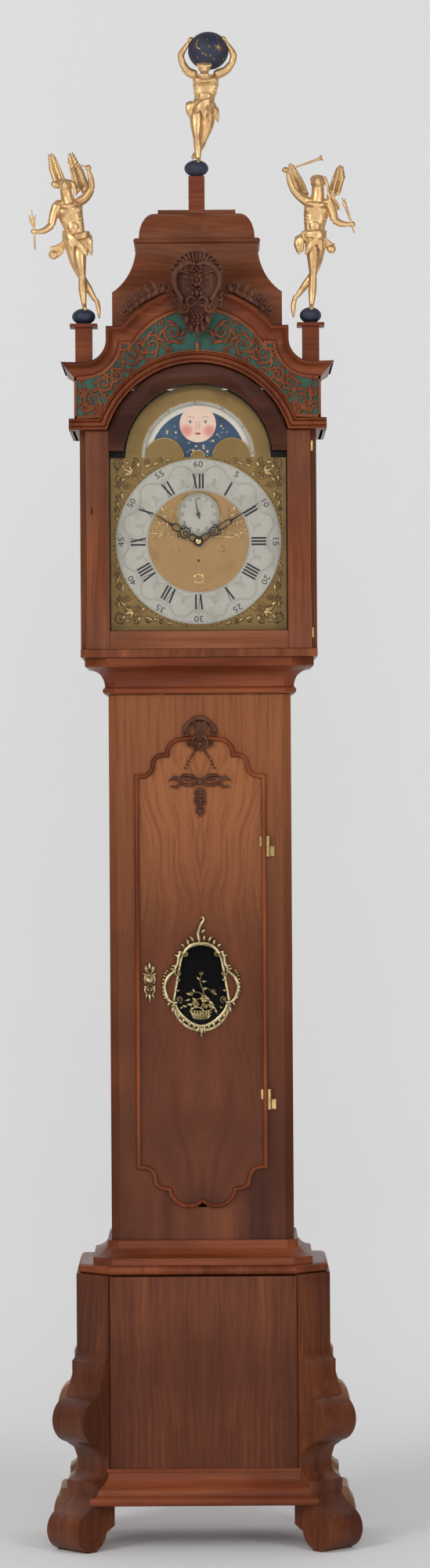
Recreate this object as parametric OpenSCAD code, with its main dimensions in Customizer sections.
// Longcase clock: walnut case, sliding hood with figures, weight-driven movement.
// +X is the clock's right as seen from the front, -Y is the front, +Z is up. The floor is z = 0.

/* [Case] */
// Width of the waist
waist_w = 336; // [300:1:400]
// Depth of the waist
waist_d = 225; // [200:1:270]
// Thickness of the case boards
board_t = 18; // [14:1:22]
// Height where the waist starts
waist_z0 = 564; // [520:1:620]
// Height where the waist ends
waist_z1 = 1567; // [1500:1:1640]
// Cut on the front corners of the waist
waist_cut = 16; // [8:1:24]

/* [Base] */
// Distance that each base side stands outside the waist
base_out = 66; // [40:1:80]
// Distance that the base front stands before the waist
base_fwd = 38; // [30:1:60]
// Half width of the base front board
base_front_hw = 171; // [150:1:190]
// Width of a front bracket
bracket_w = 83; // [60:1:90]
// Radius of a foot scroll
foot_r = 38; // [30:1:44]
// Distance of the foot scroll's centre out from the bracket face
foot_out = 42; // [34:1:50]

/* [Trunk door] */
// Half width of the trunk door
door_hw = 118.7; // [100:0.1:125]
// Thickness of the trunk door
door_t = 20; // [14:1:24]
// Gap around the trunk door
door_gap = 1.8; // [1.6:0.1:2.6]
// Height of the trunk door's top shoulders
door_z1 = 1418; // [1380:1:1440]
// Height of the trunk door's bottom shoulders
door_z0 = 696; // [660:1:730]
// Height of the lens opening's lower centre
lens_z = 1000; // [960:1:1040]
// Radius of the lens opening's lower part
lens_r = 50; // [40:1:56]
// Radius of a hinge knuckle
knuckle_r = 4.5; // [3.5:0.1:6]
// Radius of a hinge pin
hinge_pin_r = 2; // [1.5:0.1:2.5]
// Radial clearance of a hinge pin
hinge_fit = 0.06; // [0.02:0.01:0.1]

/* [Hood] */
// Distance that the hood stands outside the waist, at the front and sides
hood_out = 43; // [36:1:60]
// Half width of the hood door
hood_door_hw = 206; // [190:1:220]
// Thickness of the hood door
hood_door_t = 20; // [16:1:24]
// Half width of the hood door's opening
hood_glass_hw = 163.5; // [150:0.5:180]
// Height of the hood's lower edge
hood_z0 = 1635; // [1600:1:1680]
// Height of the arch centre
arch_z = 2000; // [1960:1:2040]
// Outer radius of the hood door's arch
arch_r = 171; // [160:1:180]
// Half width of the frieze
frieze_hw = 226; // [215:1:240]
// Projection of the cornice
cornice_out = 24; // [16:1:30]
// Half width of the caddy's foot
caddy_hw = 156; // [140:1:170]

/* [Movement] */
// Half width of the dial plate
dial_hw = 161.5; // [150:0.5:170]
// Height of the centre arbor
dial_z = 1847.7; // [1800:0.1:1900]
// Distance of the dial behind the hood door's face
dial_back = 34; // [26:1:44]
// Outer radius of the chapter ring
chapter_r = 152; // [140:1:160]
// Inner radius of the chapter ring
chapter_ri = 93; // [80:1:110]
// Half width of the movement plates
plate_hw = 76; // [66:1:90]
// Distance between the movement plates
plate_gap = 65; // [50:1:80]
// Height of the seconds arbor over the centre arbor
second_up = 50; // [44:1:56]
// Sideways place of the winding squares
wind_x = 41.4; // [38:0.1:60]
// Distance of the winding squares below the centre arbor
wind_down = 14.2; // [8:0.1:20]
// Radius of a line drum
drum_r = 22; // [16:1:26]
// Side clearance of the pivots
pivot_fit = 0.05; // [0.02:0.01:0.1]
// Distance from the pendulum's pivot to the middle of its bob
pendulum_len = 994; // [940:1:1050]
// Radius of a weight
weight_r = 30; // [24:1:36]
// Length of a weight
weight_h = 220; // [160:1:260]

/* [Hidden] */
$fn = 64;
eps = 0.01;
sq2 = sqrt(2);

// plan lines, from the back of the case forwards
base_hw = waist_w/2 + base_out;
cant = base_hw - base_front_hw - 3;
foot_reach = foot_out + foot_r;
cant_mid_x = base_front_hw + 3 + cant/2;
foot_fwd = (foot_reach + bracket_w/2)/sq2 - cant/2;
case_depth = waist_d + base_fwd + foot_fwd;
back_y = case_depth/2;
waist_y = back_y - waist_d;
base_y = waist_y - base_fwd;
hood_y = waist_y - hood_out;
dial_y = hood_y + dial_back;
back_t = 12;
waist_hw = waist_w/2;
in_hw = waist_hw - board_t;

// heights
plinth_z = 84;
base_top_z = 500;
floor_z = 106;
wood = "#6b3a22";
wood_red = "#8a4326";
pale_wood = "#a07a55";
gilt = "#c9973a";
brass = "#a98a45";
steel = "#55585c";

// ---- helpers ----

function arc(cx, cy, r, a0, a1, n = 12) =
    [for (i = [0:n]) let (a = a0 + (a1 - a0)*i/n) [cx + r*cos(a), cy + r*sin(a)]];
function mirrored(pts) = concat(pts, [for (i = [len(pts) - 1:-1:0]) [-pts[i][0], pts[i][1]]]);
function unit(v) = v/norm(v);
function out_normal(a, b) = let (d = unit(b - a)) [d[1], -d[0]];
// corner offset of an open plan path at point i
function mitre(path, i) =
    let (
        n = len(path),
        n0 = i > 0 ? out_normal(path[i - 1], path[i]) : out_normal(path[0], path[1]),
        n1 = i < n - 1 ? out_normal(path[i], path[i + 1]) : n0
    ) (n0 + n1)/(1 + n0*n1);

// a moulding of profile [out, z] run along an open plan path
module run(path, profile) {
    k = len(profile);
    m = len(path);
    pts = [for (i = [0:m - 1]) for (q = profile)
        let (c = path[i] + mitre(path, i)*q[0]) [c[0], c[1], q[1]]];
    sides = [for (i = [0:m - 2]) for (j = [0:k - 1])
        [i*k + j, i*k + (j + 1)%k, (i + 1)*k + (j + 1)%k, (i + 1)*k + j]];
    ends = [[for (j = [k - 1:-1:0]) j], [for (j = [0:k - 1]) (m - 1)*k + j]];
    polyhedron(points = pts, faces = concat(sides, ends), convexity = 6);
}

// a stack of rectangular rings [half x, half y, z] round a centre line
module loft(rings, cx = 0, cy = 0) {
    n = len(rings);
    pts = [for (r = rings) for (c = [[-1, -1], [1, -1], [1, 1], [-1, 1]])
        [cx + c[0]*r[0], cy + c[1]*r[1], r[2]]];
    sides = [for (i = [0:n - 2]) for (j = [0:3])
        [i*4 + j, (i + 1)*4 + j, (i + 1)*4 + (j + 1)%4, i*4 + (j + 1)%4]];
    polyhedron(points = pts, faces = concat([[0, 1, 2, 3]], sides,
        [[for (j = [3:-1:0]) (n - 1)*4 + j]]), convexity = 6);
}

// a front-view outline made solid from y0 back to y1
module front(y0, y1) {
    translate([0, y1, 0]) rotate([90, 0, 0]) linear_extrude(y1 - y0) children();
}

module box(x0, x1, y0, y1, z0, z1) {
    translate([x0, y0, z0]) cube([x1 - x0, y1 - y0, z1 - z0]);
}

module both_sides() {
    children();
    mirror([1, 0, 0]) children();
}

// a rod along Y at (x, z)
module rod_y(x, z, y0, y1, r, sides = 12) {
    translate([x, y1, z]) rotate([90, 0, 0]) cylinder(r = r, h = y1 - y0, $fn = sides);
}

module limb(a, b, ra, rb) {
    hull() {
        translate(a) sphere(r = ra, $fn = 10);
        translate(b) sphere(r = rb, $fn = 10);
    }
}

// ---- case ----

waist_path = [
    [-waist_hw, back_y], [-waist_hw, waist_y + waist_cut], [-waist_hw + waist_cut, waist_y],
    [waist_hw - waist_cut, waist_y], [waist_hw, waist_y + waist_cut], [waist_hw, back_y]
];

module back_board() {
    color(wood) {
        box(-in_hw, in_hw, back_y - back_t, back_y, base_top_z, seat_z + 0.2);
        box(-hood_hw + hood_side_t + 1, hood_hw - hood_side_t - 1, back_y - back_t, back_y,
            seat_z + 0.2, sh_z + 94);
        box(-base_hw + board_t, base_hw - board_t, back_y - back_t, back_y, plinth_z, base_top_z);
    }
}

bracket_in = 14;
foot_flat = 11;
module base_carcass() {
    side_y = base_y + cant + 1;
    post_y = base_y + bracket_in*sq2 - 2.4;
    color(wood) {
        both_sides() {
            box(base_hw - board_t, base_hw, side_y, back_y, plinth_z, base_top_z);
            translate([0, 0, plinth_z]) linear_extrude(base_top_z - plinth_z) polygon([
                [base_front_hw + 0.3, post_y], [base_front_hw + 0.3 + side_y - post_y, side_y],
                [base_front_hw + 0.3, side_y]
            ]);
        }
        box(-base_hw + board_t, base_hw - board_t, side_y, back_y - back_t,
            floor_z, floor_z + board_t);
    }
}

module base_front_board() {
    color(wood) box(-base_front_hw, base_front_hw, base_y, base_y + 16, plinth_z, base_top_z);
}

// bead, fillet and cove round the bottom of the base, as [out, z]
function plinth_profile() = concat(
    [[0, plinth_z]], arc(26, plinth_z + 8.5, 8.5, -90, 90, 10),
    [[20.7, plinth_z + 17], [20.7, plinth_z + 21]],
    arc(33, plinth_z + 59, 33, 240, 180, 8), [[3, plinth_z + 59], [3, plinth_z + 65], [0, plinth_z + 65]]
);

module plinth_moulding() {
    edge = base_front_hw + 4;
    reach = 40;
    color(wood) {
        intersection() {
            run([[-edge - reach, base_y], [edge + reach, base_y]], plinth_profile());
            translate([0, 0, plinth_z - 1]) linear_extrude(80) polygon([
                [-edge, base_y], [-edge - reach, base_y - reach],
                [edge + reach, base_y - reach], [edge, base_y]
            ]);
        }
        both_sides() run([[base_hw, base_y + cant + 34], [base_hw, back_y - 60]], plinth_profile());
    }
}

// side view of a corner bracket, as [out, z]: pilaster, cove, scroll, cove and foot
function bracket_outline(top, out = 1, thick = bracket_in) = [
    for (p = concat(
        [[-thick, 0], [-thick, top], [0, top], [0, 367]],
        arc(29, 367, 29, 180, 240, 6),
        [[14, 338], [14, 315]],
        arc(22, 237, 43, 75, -75, 18),
        [[8, 180], [1, 158], [4, 140]], [[12, 130], [29, 125], [29, 108]],
        [[26, 96], [40, 82]],
        arc(foot_out, foot_r, foot_r, 60, -72, 14),
        [[foot_out + foot_flat, 0], [foot_out - foot_flat, 0]],
        arc(foot_out, foot_r, foot_r*0.94, -108, -170, 6), [[0, foot_r + 14]]
    )) [p[0] > 0 ? p[0]*out : p[0], p[1]]
];

module front_brackets() {
    color(wood) both_sides() difference() {
        translate([cant_mid_x, base_y + cant/2, 0]) rotate([0, 0, -45])
            translate([0, bracket_w/2, 0]) rotate([90, 0, 0]) linear_extrude(bracket_w)
                polygon(bracket_outline(base_top_z + 2));
        box(0, base_front_hw + 0.3, base_y - 6, base_y + 80, plinth_z - 1, 600);
        box(0, 400, base_y + cant + 1, base_y + 200, plinth_z - 1, 600);
    }
}

module rear_brackets() {
    color(pale_wood) both_sides() translate([base_hw, 0, 0]) rotate([90, 0, 0])
        translate([0, 0, -back_y]) linear_extrude(58) intersection() {
            polygon(bracket_outline(base_top_z, 0.62, 0));
            translate([0.2, -1]) square([200, 700]);
        }
}

module base_top_moulding() {
    lift = base_top_z + 2;
    path = [
        [-base_hw + 12, back_y], [-base_hw + 12, base_y + cant], [-base_front_hw + 3, base_y + 9],
        [base_front_hw - 3, base_y + 9], [base_hw - 12, base_y + cant], [base_hw - 12, back_y]
    ];
    color(wood_red) run(path, concat(
        [[-50, lift]], arc(0, lift + 9, 9, -90, 90, 8), [[-50, lift + 18]]
    ));
    color(wood) run(waist_path, concat(
        [[-board_t + 4, lift + 18.2], [34, lift + 18.2], [34, lift + 21]],
        arc(34, lift + 58, 37*0.72, 270, 180, 8), [[7.4, lift + 61.8], [-board_t + 4, lift + 61.8]]
    ));
}

module waist_sides() {
    color(wood) both_sides() {
        box(in_hw, waist_hw, waist_y + door_t + 0.2, back_y, waist_z0, waist_z1);
        box(in_hw, waist_hw, waist_y + door_t + 0.2, back_y, waist_z1, seat_z);
    }
}

// right half of the trunk door's outline, from the foot's middle to the head's middle
function door_half() = concat(
    [[0, door_z0 - 61.6]], arc(25.3, door_z0 - 34.6, 37, 230, 352, 14),
    arc(69, door_z0 - 20, 19.5, 265, 358, 8), arc(108, door_z0 - 20, 19.5, 178, 95, 8),
    [[door_hw, door_z0], [door_hw, door_z1]],
    arc(108, door_z1 + 20, 19.5, 268, 185, 8), arc(69, door_z1 + 20, 19.5, 5, 88, 8),
    [[62, door_z1 + 39.5]], arc(34, door_z1 + 39.5, 28, 3, 88, 10), [[0, door_z1 + 72]]
);
module door_outline(grow = 0) {
    if (grow == 0) polygon(mirrored(door_half()));
    else offset(delta = grow) polygon(mirrored(door_half()));
}

module waist_front() {
    color(wood) {
        front(waist_y, waist_y + door_t) difference() {
            translate([-in_hw, waist_z0]) square([2*in_hw, waist_z1 - waist_z0]);
            door_outline(door_gap);
            translate([-8, door_z0 - 72]) square([16, 24]);
        }
        both_sides() translate([0, 0, waist_z0]) linear_extrude(waist_z1 - waist_z0) polygon([
            [in_hw, waist_y], [waist_hw - waist_cut, waist_y], [waist_hw, waist_y + waist_cut],
            [waist_hw, waist_y + door_t], [in_hw, waist_y + door_t]
        ]);
    }
}

module throat_moulding() {
    z = waist_z1 + 1;
    top = hood_out - 0.3;
    rail = hood_z0 - z;
    color(wood) run(waist_path, concat(
        [[0.2, z]], arc(4, z + 6.5, 6.5, -90, 90, 8), [[6, z + 13]],
        arc(top, z + 13, 36, 180, 96, 10), [[top, z + 52], [top, rail + z - 0.5], [0.2, rail + z - 0.5]]
    ));
}

// ---- hood ----

hood_hw = hood_door_hw + 11;
hood_side_t = 10;
sh_z = arch_z + 51;

module hood_sides() {
    y0 = hood_y + hood_door_t + 1;
    color(wood) both_sides() {
        box(hood_hw - hood_side_t, hood_hw, y0, back_y, hood_z0 + 14, sh_z);
        box(hood_hw - hood_side_t, frieze_hw, y0, back_y, sh_z, sh_z + 96);
        box(waist_hw + 4, hood_hw, hood_y - 4, back_y, hood_z0, hood_z0 + 14);
        box(frieze_hw, frieze_hw + 10, y0, back_y, sh_z, sh_z + 23);
    }
    color(wood) box(-waist_hw - 4, waist_hw + 4, hood_y - 4, hood_y + 34, hood_z0, hood_z0 + 14);
}

swan_x = 209;
swan_z = arch_z + 215;
crown_z = arch_z + 131;
// front outline under the cornice, drawn in by t from 0 (lower edge) to 1 (upper edge)
function crown_half(t) = concat(
    [[frieze_hw + cornice_out*t, sh_z + 96 + 27*t]],
    arc(swan_x, swan_z, 66 - 24*t, 270, 184, 12),
    [[141 + 26*t, arch_z + 212 + 27*t], [122 + 17*t, arch_z + 212 + 27*t]],
    [for (i = [0:12]) let (
        r = 144 + 32*t,
        a0 = acos((122 + 17*t)/r),
        a = a0 + (90 - a0)*i/12
    ) [r*cos(a), crown_z + r*sin(a)]]
);

module arch_cut(r) {
    translate([0, arch_z]) circle(r = r);
    translate([-sqrt(r*r - 51*51), 0]) square([2*sqrt(r*r - 51*51), arch_z + 51]);
}

module hood_face() {
    y0 = hood_y - 2;
    gap = 2.5;
    color(wood) front(y0, hood_y + hood_door_t) difference() {
        polygon(mirrored(concat([[frieze_hw, sh_z]], crown_half(0))));
        arch_cut(arch_r + gap);
    }
    color(wood_red) front(y0 - 12, y0) intersection() {
        difference() {
            union() {
                translate([0, arch_z]) circle(r = arch_r + 19);
                translate([-frieze_hw - 10, sh_z]) square([2*frieze_hw + 20, 23]);
            }
            arch_cut(arch_r + gap);
        }
        translate([-frieze_hw - 10, sh_z]) square([2*frieze_hw + 20, 400]);
    }
    color(wood_red) both_sides() box(frieze_hw, frieze_hw + 10, y0, hood_y + hood_door_t, sh_z, sh_z + 23);
}

module hood_cornice() {
    y0 = hood_y - 2;
    steps = 4;
    color(wood_red) {
        for (i = [0:steps - 1]) front(y0 - cornice_out*(i + 1)/steps, y0 - cornice_out*i/steps)
            difference() {
                polygon(mirrored(concat([[0, sh_z]], crown_half(1))));
                polygon(mirrored(concat([[0, sh_z], [frieze_hw + 60, sh_z], [frieze_hw + 60, sh_z + 96
                    + 27*i/steps]], crown_half(i/steps))));
            }
        both_sides() run([[frieze_hw, y0], [frieze_hw, back_y]], [
            [0, sh_z + 96.2], [cornice_out/3, sh_z + 98], [cornice_out, sh_z + 114],
            [cornice_out, sh_z + 123], [0, sh_z + 123]
        ]);
    }
}

caddy_y = (hood_y + 20 + back_y)/2;
caddy_hd = (back_y - hood_y - 20)/2 - 1;
// ogee of the caddy as [inset, z]
function caddy_rings(wall) = [
    for (p = concat(
        [[0, arch_z + 160], [0, arch_z + 305]],
        [for (i = [1:8]) [44*sin(i*90/8), arch_z + 305 + 94*(1 - cos(i*90/8))*0.45 + 94*0.55*i/8]]
    )) [caddy_hw - p[0] - wall, caddy_hd - p[0] - wall, p[1] - (wall > 0 ? (p[1] > arch_z + 200 ? wall : 1) : 0)]
];

module hood_caddy() {
    roof_z = sh_z + 96.5;
    top_z = arch_z + 399;
    color(wood) {
        box(-frieze_hw + 1, frieze_hw - 1, hood_y + hood_door_t + 1, back_y, roof_z, arch_z + 160);
        difference() {
            loft(caddy_rings(0), 0, caddy_y);
            loft(caddy_rings(12), 0, caddy_y);
        }
        loft([[117, caddy_hd - 39, top_z], [117, caddy_hd - 39, top_z + 10.5]], 0, caddy_y);
        loft(concat(
            [for (i = [0:8]) let (s = 31*(1 - cos(i*90/8)))
                [107 - s, caddy_hd - 49 - s, top_z + 10.5 + 49*sin(i*90/8)]],
            [[70, caddy_hd - 86, top_z + 60], [70, caddy_hd - 86, top_z + 67]]
        ), 0, caddy_y);
    }
}

post_x = 208;
post_y = hood_y + 14;
post_z = arch_z + 174.2;
module finial_posts() {
    color(wood) {
        both_sides() {
            box(post_x - 15.5, post_x + 15.5, post_y - 15.5, post_y + 15.5, arch_z + 160.2, post_z + 65);
            box(post_x - 25, post_x + 25, post_y - 25, post_y + 25, post_z + 65, post_z + 71);
        }
        box(-15, 15, caddy_y - 15, caddy_y + 15, arch_z + 466, arch_z + 532);
    }
}

module crest_carving() {
    y0 = hood_y - 2 - cornice_out;
    color(wood) front(y0 - 16, y0) union() {
        translate([0, arch_z + 328]) circle(r = 48);
        translate([0, arch_z + 290]) circle(r = 46);
        translate([0, arch_z + 250]) circle(r = 34);
        translate([0, arch_z + 226]) circle(r = 15);
    }
}

// a standing gilt figure with wings and trumpet, about its ball's centre
module herald() {
    foot = [0, 0, 14];
    knee = [-4, -4, 76];
    hip = [-10, 0, 142];
    chest = [-23, 0, 206];
    color(gilt) {
        limb(foot, knee, 6, 8);
        limb(knee, hip, 8, 14);
        limb([20, 12, 30], [4, 2, 78], 5, 8);
        limb([4, 2, 78], hip, 8, 13);
        limb([28, 8, 2], [20, 12, 30], 4, 5);
        limb(hip, chest, 17, 19);
        translate([-34, -2, 238]) sphere(r = 13, $fn = 12);
        limb([2, 0, 208], [17, -6, 238], 7, 6);
        limb([17, -6, 238], [12, -12, 272], 5, 4);
        limb([12, -12, 272], [-28, -16, 280], 3, 4);
        limb([-46, 0, 206], [-57, -4, 168], 7, 6);
        limb([-57, -4, 168], [-90, -12, 155], 5, 4);
        limb([-88, -12, 122], [-92, -12, 196], 3, 5);
        limb([-30, 16, 200], [-58, 34, 300], 8, 4);
        limb([-16, 16, 200], [-31, 40, 300], 8, 4);
        limb([-36, -6, 158], [4, -8, 146], 14, 14);
    }
    color("#27324a") sphere(r = 14.6, $fn = 24);
}

herald_z = post_z + 71 + 14.7;
module herald_left() {
    translate([-post_x, post_y, herald_z]) herald();
}
module herald_right() {
    translate([post_x, post_y, herald_z]) mirror([1, 0, 0]) herald();
}

module atlas_figure() {
    z0 = arch_z + 532 + 15.7;
    translate([0, caddy_y, z0]) {
        color(gilt) {
            limb([2, 0, 14], [6, -4, 56], 6, 8);
            limb([6, -4, 56], [14, 0, 104], 8, 14);
            limb([8, 14, 18], [20, 6, 58], 5, 8);
            limb([20, 6, 58], [16, 0, 104], 8, 13);
            limb([15, 0, 104], [19, 0, 158], 17, 19);
            translate([17, -8, 176]) sphere(r = 12, $fn = 12);
            limb([0, 0, 166], [-21, -2, 198], 7, 6);
            limb([-21, -2, 198], [-12, -4, 228], 6, 5);
            limb([38, 0, 166], [66, -2, 200], 7, 6);
            limb([66, -2, 200], [58, -4, 230], 6, 5);
            limb([0, -8, 106], [30, -8, 100], 12, 12);
        }
        color("#27324a") {
            sphere(r = 15.6, $fn = 24);
            translate([23, 4, 219]) sphere(r = 38, $fn = 40);
        }
    }
}

// hood door, hung on strap pivots at its right edge
hood_axis_x = hood_door_hw + 2.5;
hood_axis_y = hood_y - 1;
door_foot_z = hood_z0 + 14.5;
module hood_door_frame() {
    color(wood_red) front(hood_y, hood_y + hood_door_t) difference() {
        union() {
            translate([-hood_door_hw, door_foot_z])
                square([2*hood_door_hw, sh_z - 1 - door_foot_z]);
            translate([0, arch_z]) circle(r = arch_r);
        }
        translate([-hood_glass_hw, 1683]) square([2*hood_glass_hw, arch_z + 13 - 1683]);
        intersection() {
            translate([0, arch_z]) circle(r = arch_r - 34);
            translate([-200, arch_z]) square([400, 200]);
        }
    }
}

module hood_door_glass() {
    color("lightblue", 0.3) front(hood_y + 12, hood_y + 15) union() {
        translate([-hood_glass_hw + 0.2, 1683.2])
            square([2*hood_glass_hw - 0.4, arch_z + 12.6 - 1683]);
        intersection() {
            translate([0, arch_z]) circle(r = arch_r - 34.2);
            translate([-200, arch_z]) square([400, 200]);
        }
    }
}

module hood_door_straps() {
    color(brass) for (z = [door_foot_z + 20, sh_z - 40]) {
        box(hood_door_hw + 0.1, hood_axis_x, hood_axis_y - 1, hood_y + 12, z, z + 18);
        translate([hood_axis_x, hood_axis_y, z]) cylinder(r = 2.4, h = 18);
    }
}

// ---- trunk door ----

hinge_x = door_hw + 5.3;
hinge_y = waist_y - knuckle_r - 0.1;
hinge_zs = [804, 1269];
hinge_h = 36;

module lens_outline(g = 0) {
    translate([0, lens_z]) circle(r = lens_r + g);
    translate([0, lens_z + 69]) circle(r = lens_r - 12 + g);
    polygon([
        [-lens_r + 2 - g, lens_z + 10], [lens_r - 2 + g, lens_z + 10],
        [lens_r - 12 + g, lens_z + 69], [-lens_r + 12 - g, lens_z + 69]
    ]);
}

module trunk_door_panel() {
    color(wood) front(waist_y, waist_y + door_t) difference() {
        door_outline(0);
        lens_outline(0);
    }
}

module door_mouldings() {
    color(wood_red) {
        difference() {
            front(waist_y - 8, waist_y) difference() {
                door_outline(2.5);
                door_outline(-6.5);
            }
            for (z = hinge_zs) box(door_hw - 10, door_hw + 10, waist_y - 20, waist_y + 1,
                z - 0.5, z + hinge_h + 0.5);
        }
        front(waist_y - 16, waist_y - 8) translate([0, door_z1 + 77]) circle(r = 28);
        front(waist_y - 14, waist_y) union() {
            translate([-58, door_z1 - 22]) square([116, 22]);
            translate([-12, door_z1 - 73]) square([24, 52]);
        }
    }
}

module door_brasses() {
    color(brass) {
        front(waist_y - 12, waist_y) difference() {
            lens_outline(20);
            lens_outline(-1);
        }
        front(waist_y - 5, waist_y) translate([-106, 1004]) square([22, 72]);
    }
}

module lenticle_glass() {
    color("#101010", 0.5) front(waist_y + 4, waist_y + 7) lens_outline(-0.2);
}

module knuckle(z, h, pin) {
    translate([hinge_x, hinge_y, z]) cylinder(r = knuckle_r, h = h);
    if (pin) translate([hinge_x, hinge_y, z]) cylinder(r = hinge_pin_r, h = hinge_h - 1);
}

module trunk_hinge_pins() {
    color(brass) for (z = hinge_zs) {
        knuckle(z, hinge_h/2 - 0.2, true);
        box(hinge_x, hinge_x + 12, waist_y - 1.6, waist_y - 0.05, z, z + hinge_h/2 - 0.2);
    }
}

module trunk_hinge_leaves() {
    color(brass) for (z = hinge_zs) difference() {
        union() {
            knuckle(z + hinge_h/2, hinge_h/2, false);
            box(hinge_x - 15, hinge_x, waist_y - 1.6, waist_y - 0.05, z + hinge_h/2, z + hinge_h);
        }
        translate([hinge_x, hinge_y, z]) cylinder(r = hinge_pin_r + hinge_fit, h = hinge_h + 1);
    }
}

// ---- movement ----

seat_z = dial_z - 102.7;
seat_t = 20;
plate_t = 3;
fp_y = dial_y + 31;
bp_y = fp_y + plate_t + plate_gap;
top_z = dial_z + 100;
wind_z = dial_z - wind_down;
second_z = dial_z + second_up;
anchor_z = second_z + 42.3;
pend_y = bp_y + plate_t + 19;

// tooth counts, and modules that follow from the arbors' distances
great_n = 96;
centre_pn = 8;
centre_n = 60;
third_pn = 8;
third_n = 56;
escape_pn = 7;
escape_n = 30;
strike_n = 84;
wind_dist = norm([wind_x, wind_down]);
great_m = 2*wind_dist/(great_n + centre_pn);
centre_m = 0.017*second_up;
third_m = 0.016*second_up;
d1 = centre_m*(centre_n + third_pn)/2;
d2 = third_m*(third_n + escape_pn)/2;
third_up = (d1*d1 - d2*d2 + second_up*second_up)/(2*second_up);
third_x = sqrt(d1*d1 - third_up*third_up);
third_z = dial_z + third_up;
pin_m = 0.8;
pin_n = 56;
fly_pn = 7;
pin_dir = 100;
fly_dir = 80;
pin_dist = great_m*(strike_n + 8)/2;
fly_dist = pin_m*(pin_n + fly_pn)/2;
pin_x = -wind_x + pin_dist*cos(pin_dir);
pin_z = wind_z + pin_dist*sin(pin_dir);
fly_x = pin_x + fly_dist*cos(fly_dir);
fly_z = pin_z + fly_dist*sin(fly_dir);
cannon_n = 40;
hour_n = 72;
hour_pn = 6;
motion_m = 0.8;
motion_dist = motion_m*cannon_n;
hour_m = 2*motion_dist/(hour_n + hour_pn);
minute_z = dial_z - motion_dist;

// phase that puts wheel b's gap on wheel a's tooth, b lying in direction th from a
function mesh(pa, na, th, nb) = th + 180 - 360/nb*((pa - th)*na/360 + 0.5);
function dir_of(x0, z0, x1, z1) = atan2(z1 - z0, x1 - x0);

going_th = dir_of(wind_x, wind_z, 0, dial_z);
great_ph = 0;
centre_pph = mesh(great_ph, great_n, going_th, centre_pn);
centre_ph = 0;
c3_th = dir_of(0, dial_z, third_x, third_z);
third_pph = mesh(centre_ph, centre_n, c3_th, third_pn);
third_ph = 0;
t_e_th = dir_of(third_x, third_z, 0, second_z);
escape_pph = mesh(third_ph, third_n, t_e_th, escape_pn);
strike_ph = 0;
pin_pph = mesh(strike_ph, strike_n, pin_dir, 8);
fly_pph = mesh(0, pin_n, fly_dir, fly_pn);

// toothed disc outline: n teeth of module m
module teeth(n, m, add = 0.5, ded = 0.75, wide = 0.3) {
    r = n*m/2;
    p = 360/n;
    polygon([for (i = [0:n - 1]) for (q = [
        [-wide*0.62, r - ded*m], [-wide*0.4, r + add*m], [wide*0.4, r + add*m], [wide*0.62, r - ded*m]
    ]) let (a = i*p + q[0]*p) [q[1]*cos(a), q[1]*sin(a)]]);
}

module wheel(x, z, y, t, n, m, ph, crossed = true, add = 0.5) {
    r = n*m/2;
    translate([x, y + t, z]) rotate([90, 0, 0]) linear_extrude(t) difference() {
        rotate(ph) teeth(n, m, add);
        if (crossed) for (k = [0:3]) rotate(k*90 + 45) intersection() {
            difference() {
                circle(r = r - 4.5, $fn = 12);
                circle(r = 5.5, $fn = 12);
                for (s = [-1, 1]) rotate(s*45) translate([-1.6, -2]) square([3.2, 2*r + 4]);
            }
            polygon([[0, 0], [2*r, -2*r + 0.01], [2*r, 2*r - 0.01]]);
        }
    }
}

module arbor(x, z, r = 2) {
    rod_y(x, z, fp_y + plate_t + 0.3, bp_y - 0.3, r);
    rod_y(x, z, fp_y - 1, bp_y + plate_t + 1, 1.2);
}

module pivot_hole(x, z, r = 1.2) {
    rod_y(x, z, fp_y - 10, bp_y + 20, r + pivot_fit, 40);
}

module all_pivots() {
    for (s = [[0, second_z], [third_x, third_z], [0, anchor_z], [pin_x, pin_z], [fly_x, fly_z],
        [hammer_x, hammer_z]]) pivot_hole(s[0], s[1]);
    pivot_hole(0, dial_z, 2);
    for (s = [-1, 1]) pivot_hole(s*wind_x, wind_z, 3.4);
}

pillar_at = [for (x = [-plate_hw + 8, plate_hw - 8]) for (z = [seat_z + seat_t + 12, top_z - 8]) [x, z]];

module plate_outline() {
    translate([-plate_hw, seat_z + seat_t + 1]) square([2*plate_hw, top_z - seat_z - seat_t]);
}

module front_plate() {
    color(brass) difference() {
        front(fp_y, fp_y + plate_t) plate_outline();
        all_pivots();
        for (p = pillar_at) rod_y(p[0], p[1], fp_y - 5, fp_y + 20, 2.55, 40);
    }
    color(brass) rod_y(0, minute_z, fp_y - 13.5, fp_y + 1, 1.1 - pivot_fit, 40);
}

module back_plate() {
    color(brass) {
        difference() {
            front(bp_y, bp_y + plate_t) plate_outline();
            all_pivots();
        }
        for (p = pillar_at) {
            rod_y(p[0], p[1], fp_y + plate_t + 0.1, bp_y, 5, 40);
            rod_y(p[0], p[1], fp_y - 4, fp_y + plate_t + 0.1, 2.5, 40);
        }
    }
}

lead_x = wind_x + drum_r;
line_y = fp_y + plate_t + 30;
pulley_r = 18;
weight_x = lead_x + pulley_r;
module seat_board() {
    color(wood) difference() {
        box(-waist_hw, waist_hw, fp_y - 10, back_y - back_t - 4, seat_z + 0.05, seat_z + seat_t);
        for (s = [-1, 1]) translate([s*lead_x, line_y, seat_z - 1]) cylinder(r = 6, h = seat_t + 2);
        box(-30, 30, pend_y - 12, back_y, seat_z - 1, seat_z + seat_t + 1);
    }
}

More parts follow.
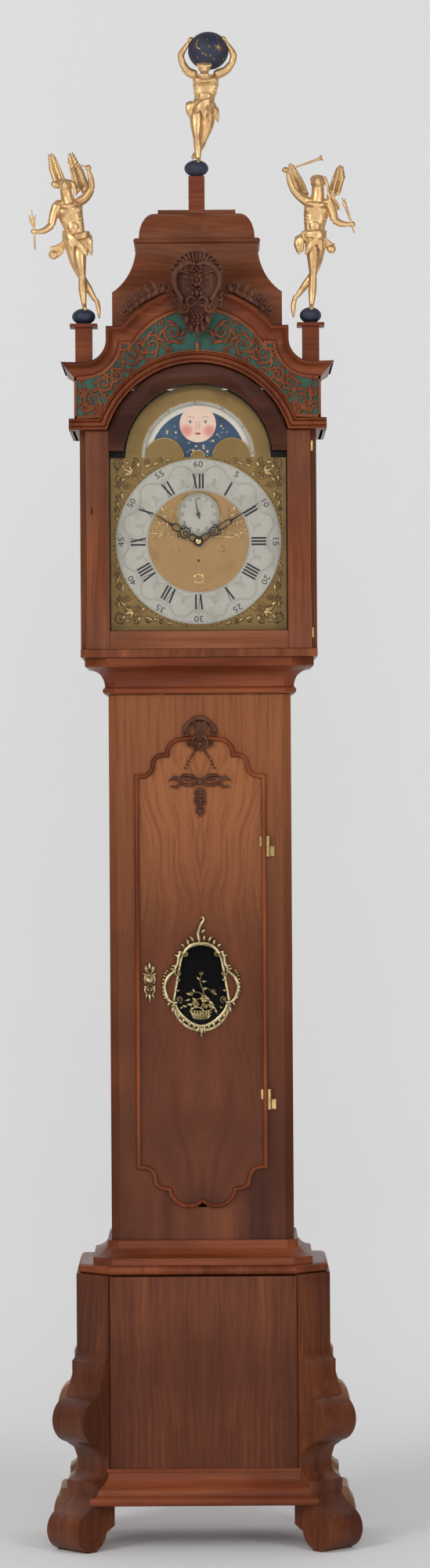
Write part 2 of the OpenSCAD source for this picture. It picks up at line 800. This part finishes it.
moon_r = 98;
module dial_plate() {
    z0 = dial_z - 162.7;
    z1 = dial_z + 153.8;
    color(brass) {
        difference() {
            front(dial_y, dial_y + 3) difference() {
                union() {
                    translate([-dial_hw, z0]) square([2*dial_hw, z1 - z0]);
                    intersection() {
                        translate([0, z1]) circle(r = dial_hw - 28);
                        translate([-200, z1 - 1]) square([400, 200]);
                    }
                }
                difference() {
                    translate([0, z1]) circle(r = moon_r);
                    translate([-200, z1 - 200]) square([400, 200 + 1]);
                    for (s = [-1, 1]) translate([s*62, z1 + 1]) circle(r = 36);
                    translate([0, z1 + 1]) circle(r = 13.5);
                }
                translate([-6.5, dial_z - 68 - 6.5]) square(13);
            }
            rod_y(0, dial_z, dial_y - 5, dial_y + 5, 5.8, 40);
            rod_y(0, second_z, dial_y - 5, dial_y + 5, 2, 40);
            for (s = [-1, 1]) rod_y(s*wind_x, wind_z, dial_y - 5, dial_y + 5, 5.5, 40);
        }
        for (s = [-1, 1]) for (z = [seat_z + seat_t + 26, top_z - 32])
            rod_y(s*(plate_hw - 8), z, dial_y + 3, fp_y, 3.5, 40);
        rod_y(0, z1, dial_y + 5.6, dial_y + 7, 8, 40);
        rod_y(0, z1, dial_y + 3.1, dial_y + 5.6, 2.4, 40);
        for (x = [-60, 60]) box(x - 4, x + 4, dial_y + 5.6, dial_y + 7, z1 - 90, z1 - 10);
        box(-60, 60, dial_y + 5.6, dial_y + 7, z1 - 4, z1 + 4);
    }
}

module dial_rings() {
    color("silver") {
        front(dial_y - 1.6, dial_y - 0.1) difference() {
            translate([0, dial_z]) circle(r = chapter_r, $fn = 120);
            translate([0, dial_z]) circle(r = chapter_ri, $fn = 120);
        }
        front(dial_y - 1.6, dial_y - 0.1) translate([0, second_z]) difference() {
            circle(r = 41.6);
            circle(r = 2);
        }
    }
}

module spandrels() {
    color(gilt) for (sx = [-1, 1]) for (sz = [-1, 1])
        front(dial_y - 4, dial_y - 0.1) intersection() {
            translate([sx*(dial_hw - 33), dial_z - 4.5 + sz*(dial_hw - 36)]) square(60, center = true);
            difference() {
                translate([-dial_hw + 3, dial_z - 160]) square([2*dial_hw - 6, 311]);
                translate([0, dial_z]) circle(r = chapter_r + 1, $fn = 120);
            }
        }
}

module centre_arbor() {
    color(brass) {
        rod_y(0, dial_z, fp_y + plate_t + 0.3, bp_y - 0.3, 2.4);
        rod_y(0, dial_z, dial_y - 15, bp_y + plate_t + 1, 2);
        wheel(0, dial_z, fp_y + 4, 2, centre_n, centre_m, centre_ph);
        wheel(0, dial_z, bp_y - 14, 5, centre_pn, great_m, centre_pph, false);
        rod_y(0, dial_z, fp_y - 8, fp_y - 0.5, 4);
        wheel(0, dial_z, fp_y - 5, 2, cannon_n, motion_m, 0);
        rod_y(0, dial_z, dial_y - 12, fp_y - 5, 3);
    }
}

module minute_wheel() {
    th = -90;
    color(brass) difference() {
        union() {
            wheel(0, minute_z, fp_y - 5, 2, cannon_n, motion_m, mesh(0, cannon_n, th, cannon_n));
            wheel(0, minute_z, fp_y - 13, 8, hour_pn, hour_m, mesh(0, hour_n, th, hour_pn), false, 0.4);
            rod_y(0, minute_z, fp_y - 3, fp_y - 0.6, 3);
        }
        rod_y(0, minute_z, fp_y - 20, fp_y + 5, 1.1, 40);
    }
}

module hour_wheel() {
    color(brass) difference() {
        union() {
            wheel(0, dial_z, fp_y - 12, 2, hour_n, hour_m, 0);
            rod_y(0, dial_z, fp_y - 12, fp_y - 9, 7);
            rod_y(0, dial_z, dial_y - 9, fp_y - 11, 5);
        }
        rod_y(0, dial_z, dial_y - 30, fp_y, 3.2);
    }
}

minute_at = 58;
hour_at = 302;
// a pointer of length l and root width w, at a clockwise angle from upright
module pointer(z, y0, y1, l, w, at, hub, bore, tail = 0) {
    front(y0, y1) translate([0, z]) rotate(-at) difference() {
        union() {
            circle(r = hub, $fn = 12);
            polygon([[-w/2, -tail], [w/2, -tail], [w/2, l*0.55], [0.6, l], [-0.6, l], [-w/2, l*0.55]]);
        }
        circle(r = bore, $fn = 12);
    }
}

module hour_hand() {
    color("#1c1c22") pointer(dial_z, dial_y - 8.8, dial_y - 7.4, 98, 7, hour_at, 9, 5.05);
}

module minute_hand() {
    color("#1c1c22") pointer(dial_z, dial_y - 11.8, dial_y - 10.4, 133, 6, minute_at, 8, 3.02);
}

module going_great_wheel() {
    color(brass) difference() {
        wheel(wind_x, wind_z, bp_y - 12, 2.5, great_n, great_m, great_ph);
        rod_y(wind_x, wind_z, bp_y - 20, bp_y, 3.75);
    }
}

module third_wheel() {
    color(brass) {
        arbor(third_x, third_z, 1.6);
        wheel(third_x, third_z, fp_y + 3.5, 3.5, third_pn, centre_m, third_pph, false);
        wheel(third_x, third_z, fp_y + 20, 2, third_n, third_m, third_ph);
    }
}

module escape_wheel() {
    color(brass) {
        arbor(0, second_z, 1.6);
        rod_y(0, second_z, dial_y - 4, fp_y, 1.2);
        wheel(0, second_z, fp_y + 18, 6, escape_pn, third_m, escape_pph, false);
        front(fp_y + 9, fp_y + 11) translate([0, second_z]) polygon(
            [for (i = [0:escape_n - 1]) for (q = [[0, 16.4], [5, 20], [5.6, 20], [6, 16.4]])
                [q[1]*cos(i*12 + q[0]), q[1]*sin(i*12 + q[0])]]);
    }
}

module seconds_hand() {
    color("#1c1c22") pointer(second_z, dial_y - 4.6, dial_y - 3.6, 31, 2.2, -12, 3.4, 1.22, 10);
}

module pallet_anchor() {
    dz = anchor_z;
    color(steel) {
        arbor(0, dz, 2);
        front(fp_y + 8, fp_y + 12) polygon(mirrored([
            [0, dz + 4], [5, dz + 3], [23, dz - 20], [21.5, dz - 29], [17.6, dz - 28.3], [18.4, dz - 20],
            [4, dz - 4], [0, dz - 4]
        ]));
        rod_y(0, dz, bp_y + plate_t + 0.9, pend_y - 6, 2);
        box(-2, 2, pend_y - 8, pend_y - 6, dz - 120, dz);
        box(-4.2, 4.2, pend_y - 8, pend_y - 6, dz - 120, dz - 116);
        for (s = [-1, 1]) box(s*3.45 - 0.75, s*3.45 + 0.75, pend_y - 8, pend_y + 2, dz - 120, dz - 116);
    }
}

module pendulum_cock() {
    color(brass) {
        box(-16, 16, bp_y + plate_t, pend_y + 8, anchor_z + 12, anchor_z + 16);
        for (s = [-1, 1]) box(s*13 - 3, s*13 + 3, bp_y + plate_t, bp_y + plate_t + 4,
            anchor_z - 8, anchor_z + 12);
    }
}

module pendulum_rod() {
    bz = anchor_z - pendulum_len;
    color(steel) {
        box(-5, 5, pend_y - 0.3, pend_y + 0.3, anchor_z - 18, anchor_z + 11.6);
        translate([0, pend_y, bz - 84]) cylinder(r = 2.5, h = pendulum_len + 84 - 18);
    }
}

module pendulum_bob() {
    bz = anchor_z - pendulum_len;
    color(brass) {
        difference() {
            translate([0, pend_y, bz]) rotate([90, 0, 0]) translate([0, 0, -11])
                cylinder(r = 55, h = 22);
            translate([0, pend_y, bz - 70]) cylinder(r = 2.5, h = 140);
        }
        difference() {
            translate([0, pend_y, bz - 68]) cylinder(r = 9, h = 12, $fn = 12);
            translate([0, pend_y, bz - 90]) cylinder(r = 2.5, h = 60);
        }
    }
}

module drum(s) {
    x = s*wind_x;
    color(brass) {
        rod_y(x, wind_z, fp_y + plate_t + 10, fp_y + plate_t + 50, drum_r, 64);
        rod_y(x, wind_z, fp_y + plate_t + 8, fp_y + plate_t + 10, drum_r + 3, 64);
        rod_y(x, wind_z, fp_y - 0.5, bp_y + plate_t + 1, 3.4, 40);
        rod_y(x, wind_z, fp_y + plate_t + 0.4, fp_y + plate_t + 8, 5, 40);
        box(x - 2.2, x + 2.2, dial_y - 3, fp_y - 0.5, wind_z - 2.2, wind_z + 2.2);
    }
}
module going_drum() drum(1);
module strike_drum() drum(-1);

weight_top = seat_z - 145;
pulley_z = weight_top + 42;
module weight(s) {
    translate([s*weight_x, line_y, 0]) {
        color(brass) {
            translate([0, 0, weight_top - weight_h]) cylinder(r = weight_r, h = weight_h);
            translate([-1.5, -1.5, weight_top]) cube([3, 3, 20]);
            translate([0, 3, pulley_z]) rotate([90, 0, 0]) cylinder(r = pulley_r - 1.4, h = 6);
            for (t = [-5.4, 3.4]) translate([-2, t, weight_top + 14]) cube([4, 2, 34]);
            translate([-2, -5.4, weight_top + 12]) cube([4, 10.8, 2.2]);
        }
    }
}
module going_weight() weight(1);
module strike_weight() weight(-1);

module line(s) {
    color("#8d7a52") for (t = [0, 1]) translate([s*(lead_x + t*2*pulley_r), line_y, pulley_z])
        cylinder(r = 1.1, h = seat_z - pulley_z, $fn = 12);
}
module going_line() line(1);
module strike_line() line(-1);

module strike_great_wheel() {
    color(brass) difference() {
        wheel(-wind_x, wind_z, bp_y - 9, 2.5, strike_n, great_m, strike_ph);
        rod_y(-wind_x, wind_z, bp_y - 20, bp_y, 3.75);
    }
}

module pin_wheel() {
    color(brass) {
        arbor(pin_x, pin_z, 1.6);
        wheel(pin_x, pin_z, bp_y - 10, 4.5, 8, great_m, pin_pph, false);
        wheel(pin_x, pin_z, fp_y + 4, 2, pin_n, pin_m, 0);
        for (k = [0:7]) rod_y(pin_x + 16*cos(k*45), pin_z + 16*sin(k*45), fp_y + 6, fp_y + 10, 0.9, 8);
    }
}

module fly() {
    color(brass) {
        arbor(fly_x, fly_z, 1.3);
        wheel(fly_x, fly_z, fp_y + 3.5, 3.5, fly_pn, pin_m, fly_pph, false);
        box(fly_x - 17, fly_x + 17, fp_y + 30, fp_y + 50, fly_z - 0.5, fly_z + 0.5);
    }
}

bell_z = top_z + 16;
bell_y = fp_y + 34;
module bell() {
    color("#c8b070") {
        translate([0, bell_y, bell_z]) rotate_extrude() difference() {
            intersection() {
                circle(r = 48);
                square(60);
            }
            circle(r = 45);
            square([4, 60]);
        }
        translate([0, bell_y, bell_z + 36]) cylinder(r = 4, h = 14);
        box(-4, 26, bell_y - 4, bp_y + plate_t + 3, bell_z + 48.4, bell_z + 52.4);
        box(18, 26, bp_y + plate_t, bp_y + plate_t + 3, top_z - 16, bell_z + 52.4);
    }
}

hammer_x = -58;
hammer_z = dial_z + 66;
module hammer() {
    color(steel) {
        arbor(hammer_x, hammer_z, 2);
        box(hammer_x - 1.5, hammer_x + 1.5, bell_y - 2, bell_y + 2, hammer_z, bell_z + 4);
        translate([hammer_x - 6, bell_y, bell_z + 4]) rotate([0, 90, 0]) cylinder(r = 5, h = 14.6);
    }
}

module moon_disc() {
    z1 = dial_z + 153.8;
    color("#1c3c5c") difference() {
        front(dial_y + 3.4, dial_y + 4.6) translate([0, z1]) circle(r = moon_r + 3, $fn = 118);
        rod_y(0, z1, dial_y, dial_y + 10, 2.5, 40);
    }
}

module date_disc() {
    dz = dial_z - 102;
    color("silver") difference() {
        front(dial_y + 3.4, dial_y + 4.6) translate([0, dz]) circle(r = 44, $fn = 62);
        rod_y(0, dz, dial_y, dial_y + 10, 2.5, 40);
    }
}

back_board();
base_carcass();
base_front_board();
plinth_moulding();
front_brackets();
rear_brackets();
base_top_moulding();
waist_sides();
waist_front();
throat_moulding();
seat_board();
front_plate();
back_plate();
dial_plate();
dial_rings();
spandrels();
pendulum_cock();
bell();
trunk_hinge_pins();
centre_arbor();
minute_hand();
hour_wheel();
hour_hand();
minute_wheel();
going_great_wheel();
third_wheel();
escape_wheel();
seconds_hand();
pallet_anchor();
pendulum_rod();
pendulum_bob();
going_drum();
strike_drum();
going_weight();
strike_weight();
going_line();
strike_line();
strike_great_wheel();
pin_wheel();
fly();
hammer();
moon_disc();
date_disc();
trunk_door_panel();
door_mouldings();
door_brasses();
lenticle_glass();
trunk_hinge_leaves();
hood_sides();
hood_face();
hood_cornice();
hood_caddy();
finial_posts();
crest_carving();
herald_left();
herald_right();
atlas_figure();
hood_door_frame();
hood_door_glass();
hood_door_straps();
